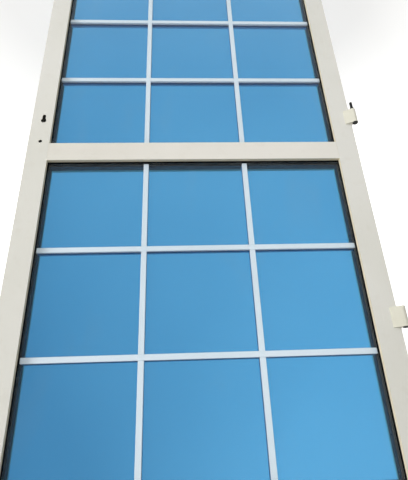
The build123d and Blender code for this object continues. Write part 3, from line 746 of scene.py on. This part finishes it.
def spacer_bar(name, span, width, height, sizes, materials):
    """Spacer bar along X with two rows of slots in its upper face and mitred ends, its face at z 0."""
    bpy.ops.object.select_all(action="DESELECT")
    pitch = sizes.slot_pitch
    count = int(span / pitch) + 1
    start = -count * pitch / 2
    first_slot = start + pitch / 2
    bpy.ops.mesh.primitive_cube_add(size=1, location=(first_slot, 0, -height / 2))
    piece = bpy.context.object
    piece.name = name
    for material in materials:
        piece.data.materials.append(material)
    piece.scale = (pitch, width, height)
    settle(piece)
    bpy.ops.object.mode_set(mode="EDIT")
    pick(piece, "FACE", lambda face: abs(face.normal.x) > FACING)
    bpy.ops.mesh.delete(type="FACE")
    gap = (pitch - sizes.slot_length) / 2
    cuts = [((start + gap, 0, 0), (1, 0, 0)), ((start + pitch - gap, 0, 0), (1, 0, 0))]
    rows = (-sizes.rows_apart / 2, sizes.rows_apart / 2)
    for row in rows:
        for way in BOTH_WAYS:
            cuts.append(((0, row + way * sizes.slot_width / 2, 0), (0, 1, 0)))
    for place, normal in cuts:
        pick(piece, "FACE", lambda face: face.normal.z > FACING)
        bpy.ops.mesh.bisect(plane_co=place, plane_no=normal)

    def is_slot(face):
        place = face.calc_center_median()
        in_row = any(abs(place.y - row) < sizes.slot_width / 2 for row in rows)
        return face.normal.z > FACING and in_row and abs(place.x - first_slot) < sizes.slot_length / 2

    pick(piece, "FACE", is_slot)
    push(-sizes.slot_depth, "Z")
    piece.active_material_index = BEAD_SLOT
    bpy.ops.object.material_slot_assign()
    bpy.ops.object.mode_set(mode="OBJECT")
    repeat = piece.modifiers.new("Slots", "ARRAY")
    repeat.count = count
    repeat.use_relative_offset = False
    repeat.use_constant_offset = True
    repeat.constant_offset_displace = (pitch, 0, 0)
    repeat.use_merge_vertices = True
    repeat.merge_threshold = MERGE
    take(piece)
    bpy.ops.object.modifier_apply(modifier=repeat.name)
    bpy.ops.object.mode_set(mode="EDIT")
    for way in BOTH_WAYS:
        bpy.ops.mesh.select_all(action="SELECT")
        bpy.ops.mesh.bisect(
            plane_co=(way * span / 2, 0, -height),
            plane_no=(way, 0, 1),
            use_fill=True,
            clear_outer=True,
        )
    bpy.ops.object.mode_set(mode="OBJECT")
    return piece


def spacer_ring(panel, sizes, materials):
    """Four mitred spacer bars joined into the ring of one panel."""
    node = f"{panel}_spacer"
    low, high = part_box(node)
    width, height = high.y - low.y, sizes.bar_height
    centre = (low + high) / 2
    kinds = (
        ("level", high.x - low.x, (0, 0, low.z + height - centre.z), (0, 180)),
        ("upright", high.z - low.z, (low.x + height - centre.x, 0, 0), (90, -90)),
    )
    bars = []
    for kind, span, offset, turns in kinds:
        first = spacer_bar(f"{panel}_spacer_{kind}", span, width, height, sizes, materials)
        second = bpy.data.objects.new(f"{panel}_spacer_{kind}_copy", first.data.copy())
        bpy.context.scene.collection.objects.link(second)
        first.location = centre + Vector(offset)
        second.location = centre - Vector(offset)
        for bar, turn in zip((first, second), turns):
            bar.rotation_euler = (0, radians(turn), 0)
            settle(bar)
            bars.append(bar)
    take(bars[0])
    for bar in bars:
        bar.select_set(True)
    bpy.ops.object.join()
    ring = bpy.context.object
    ring.name = f"{panel}_spacer_bars"
    ring.data.name = ring.name
    bpy.ops.object.mode_set(mode="EDIT")
    bpy.ops.mesh.select_all(action="SELECT")
    bpy.ops.mesh.normals_make_consistent(inside=False)
    bpy.ops.object.mode_set(mode="OBJECT")
    mount(ring, [node])


class DOOR_OT_spacers(DoorPieceOperator, bpy.types.Operator):
    """Perforated spacer bars round the two cavities"""

    bl_idname = "door.spacers"
    bl_label = "Spacer bars"

    def execute(self, context):
        sizes = context.scene.door_spacers
        metal = brushed_metal(
            "Spacer metal",
            sizes.metal_colour,
            ALONG_Z,
            metal=0.2,
            rough_low=0.45,
            rough_high=0.60,
            gloss=0.05,
        )
        beads = moulded("Drying beads", sizes.bead_colour, sizes.metal_colour, grain=1500.0)
        for panel in PANELS:
            spacer_ring(panel, sizes, (metal, beads))
        return {"FINISHED"}


class DOOR_OT_hinges(DoorPieceOperator, bpy.types.Operator):
    """Hinge wings, caps, bushes and pins"""

    bl_idname = "door.hinges"
    bl_label = "Hinges"

    def execute(self, context):
        sizes = context.scene.door_fittings
        dust = context.scene.door_coat.dust_colour
        coat = powder_coat("Hinge coat", sizes.hinge_colour, sizes.hinge_shade, dust, ALONG_Z)
        plastic = moulded("Hinge plastic", sizes.plastic_colour, dust, dust_share=0.12, gloss=0.25)
        steel = brushed_metal("Pin steel", sizes.pin_colour, ALONG_Z, rough_low=0.3, rough_high=0.5)
        for hinge in HINGES:
            softened(f"{hinge}_hinge_wing", sizes.hinge_edge, coat, segments=3)
            softened(f"{hinge}_hinge_cap", sizes.small_edge, plastic)
        for hinge in PINNED_HINGES:
            softened(f"{hinge}_hinge_bush", sizes.small_edge, plastic)
            softened(f"{hinge}_hinge_pin", sizes.small_edge, steel)
        return {"FINISHED"}


def coil_spring(node, material):
    """Smoothed copy of a spring with a mesh of its own; nothing here makes it shorten as a bolt slides in.
    """
    piece = cleaned(node, f"{node}_coil")
    smooth(piece)
    mount(piece, [node], material)
    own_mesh(piece)


class DOOR_OT_lock(DoorPieceOperator, bpy.types.Operator):
    """Mortice lock: faceplate, case, cover, hub, bolts, spring and screws"""

    bl_idname = "door.lock"
    bl_label = "Lock"

    def execute(self, context):
        sizes = context.scene.door_fittings
        bolt = brushed_metal("Lock steel", sizes.bolt_colour, ALONG_Z)
        zinc = brushed_metal("Lock zinc", sizes.steel_colour, ALONG_X, rough_low=0.34, rough_high=0.52)
        for node in ("lock_faceplate", "latch_bolt", "dead_bolt"):
            softened(node, sizes.small_edge, bolt)
        for node in ("lock_case", "lock_cover", "follower", "lock_cover_screws"):
            coat_node(node, zinc)
        coil_spring("latch_spring", zinc)
        coat_node("faceplate_screws", bolt)
        return {"FINISHED"}


class DOOR_OT_inner_fittings(DoorPieceOperator, bpy.types.Operator):
    """Cleats, connectors, backing plates, screws and setting blocks inside the frame"""

    bl_idname = "door.inner_fittings"
    bl_label = "Inner fittings"

    def execute(self, context):
        sizes = context.scene.door_fittings
        raw = brushed_metal("Bare aluminium", sizes.raw_colour, ALONG_Z, rough_low=0.36, rough_high=0.55)
        zinc = brushed_metal("Zinc plate", sizes.steel_colour, ALONG_Z, rough_low=0.3, rough_high=0.48)
        plastic = moulded("Block plastic", sizes.plastic_colour, sizes.steel_colour, grain=400.0)
        for node in ("corner_cleat_hinge_side", "corner_cleat_lock_side", "rail_connectors"):
            coat_node(node, raw)
        for node in ("connector_screws", "hinge_backing_plates", "hinge_screws"):
            coat_node(node, zinc)
        for panel in PANELS:
            coat_node(f"{panel}_setting_blocks", plastic)
        return {"FINISHED"}


def lamp(name, watts, size, place, tone):
    """Soft square lamp aimed at the middle of the leaf, which no gloss or glass shows."""
    bpy.ops.object.select_all(action="DESELECT")
    bpy.ops.object.light_add(type="AREA", location=place)
    light = bpy.context.object
    light.name = name
    light.data.energy = watts
    light.data.size = size
    light.data.color = tone
    light.visible_glossy = False
    light.visible_transmission = False
    light.rotation_euler = (Vector(LAMP_AIM) - Vector(place)).to_track_quat("-Z", "Y").to_euler()


def soft_world(scene, studio):
    """Even pale surroundings that light the leaf, white for the camera and a sky for gloss and glass."""
    world = bpy.data.worlds.new("Soft surroundings")
    scene.world = world
    shading = ShaderTree(world)
    path = shading.add("LightPath").outputs
    mirrored = shading.math("MAXIMUM", path["Is Glossy Ray"], path["Is Transmission Ray"])
    towards = shading.split(shading.add("TexCoord").outputs["Generated"])
    height = shading.math("ADD", towards["Z"], 1.0)
    slope = shading.math("MULTIPLY", shading.square(height), towards["X"])
    bright_share = shading.math("SUBTRACT", 0.5, shading.math("MULTIPLY", slope, SKY_SLOPE))
    sky = shading.background(shading.blend(bright_share, studio.sky_deep, studio.sky_bright), 1.0)
    light = shading.background(WHITE, studio.sky)
    shown = shading.choice(path["Is Camera Ray"], light, shading.background(WHITE, 1.0))
    out = shading.add("OutputWorld")
    shading.join(shading.choice(mirrored, shown, sky), out.inputs["Surface"])


def studio_floor(studio):
    """Pale floor that turns white away from the leaf for the camera alone, and keeps the leaf's shadow."""
    bpy.ops.object.select_all(action="DESELECT")
    bpy.ops.mesh.primitive_plane_add(size=FLOOR_SIZE, location=(0, 0, 0))
    floor = bpy.context.object
    floor.name = "studio_floor"
    finish = Finish("Studio floor")
    place = finish.split(finish.where)
    away = finish.math("SQRT", finish.math("ADD", finish.square(place["X"]), finish.square(place["Y"])))
    glow = finish.level(away, *studio.floor_fade, low=studio.floor_glow, high=1.0)
    seen = finish.add("LightPath").outputs["Is Camera Ray"]
    finish.join(WHITE, finish.shader.inputs["Emission Color"])
    finish.join(finish.math("MULTIPLY", seen, glow), finish.shader.inputs["Emission Strength"])
    floor.data.materials.append(finish.done(studio.floor_colour, FLOOR_ROUGHNESS))
    floor.visible_glossy = False
    floor.visible_transmission = False
    return floor


def studio_camera(scene, studio):
    """Camera at the photograph's viewing angle."""
    place, aim = Vector(studio.camera_place), Vector(studio.camera_aim)
    bpy.ops.object.camera_add(location=place)
    camera = bpy.context.object
    camera.name = "camera"
    turn = (aim - place).to_track_quat("-Z", "Y") @ Quaternion((0, 0, 1), studio.camera_roll)
    camera.rotation_euler = turn.to_euler()
    camera.data.lens = studio.camera_lens
    camera.data.sensor_width = SENSOR_WIDTH
    camera.data.clip_start = NEAREST_SEEN
    scene.camera = camera


class DOOR_OT_stage(DoorPieceOperator, bpy.types.Operator):
    """Pale floor, soft lamps, surroundings and the camera"""

    bl_idname = "door.stage"
    bl_label = "Stage"

    def execute(self, context):
        scene = context.scene
        studio = scene.door_studio
        scene.view_settings.view_transform = "Standard"
        floor = studio_floor(studio)
        lamp("key_lamp", studio.key_power, **KEY_LAMP)
        lamp("fill_lamp", studio.fill_power, **FILL_LAMP)
        lamp("back_lamp", studio.back_power, **BACK_LAMP)
        soft_world(scene, studio)
        studio_camera(scene, studio)
        return {"FINISHED"}


class DOOR_PT_sidebar(bpy.types.Panel):
    """Door tools in the 3D view's sidebar"""

    bl_idname = "DOOR_PT_sidebar"
    bl_label = "Glass entrance door"
    bl_space_type = "VIEW_3D"
    bl_region_type = "UI"
    bl_category = "Door"

    def draw(self, context):
        for name in SETTINGS:
            box = self.layout.box()
            group = getattr(context.scene, name)
            for field in group.bl_rna.properties.keys():
                if field not in ("name", "rna_type"):
                    box.prop(group, field)
        for operator in OPERATORS:
            self.layout.operator(operator.bl_idname)


SETTINGS = {
    "door_coat": DoorCoatSettings,
    "door_glass": DoorGlassSettings,
    "door_seals": DoorSealSettings,
    "door_spacers": DoorSpacerSettings,
    "door_fittings": DoorFittingSettings,
    "door_studio": DoorStudioSettings,
}
OPERATORS = (
    DOOR_OT_frame,
    DOOR_OT_bars,
    DOOR_OT_glass,
    DOOR_OT_seals,
    DOOR_OT_spacers,
    DOOR_OT_hinges,
    DOOR_OT_lock,
    DOOR_OT_inner_fittings,
    DOOR_OT_stage,
)


def register():
    """Register the settings, the operators and the panel."""
    for group in SETTINGS.values():
        bpy.utils.register_class(group)
    for operator in OPERATORS:
        bpy.utils.register_class(operator)
    bpy.utils.register_class(DOOR_PT_sidebar)
    for name, group in SETTINGS.items():
        setattr(bpy.types.Scene, name, PointerProperty(type=group))


def unregister():
    """Take back what register did."""
    for name in SETTINGS:
        delattr(bpy.types.Scene, name)
    bpy.utils.unregister_class(DOOR_PT_sidebar)
    for operator in reversed(OPERATORS):
        bpy.utils.unregister_class(operator)
    for group in reversed(SETTINGS.values()):
        bpy.utils.unregister_class(group)


def main():
    """Make the door's pieces in order."""
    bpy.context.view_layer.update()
    register()
    for operator in OPERATORS:
        family, name = operator.bl_idname.split(".")
        getattr(getattr(bpy.ops, family), name)()


if __name__ == "__main__":
    main()
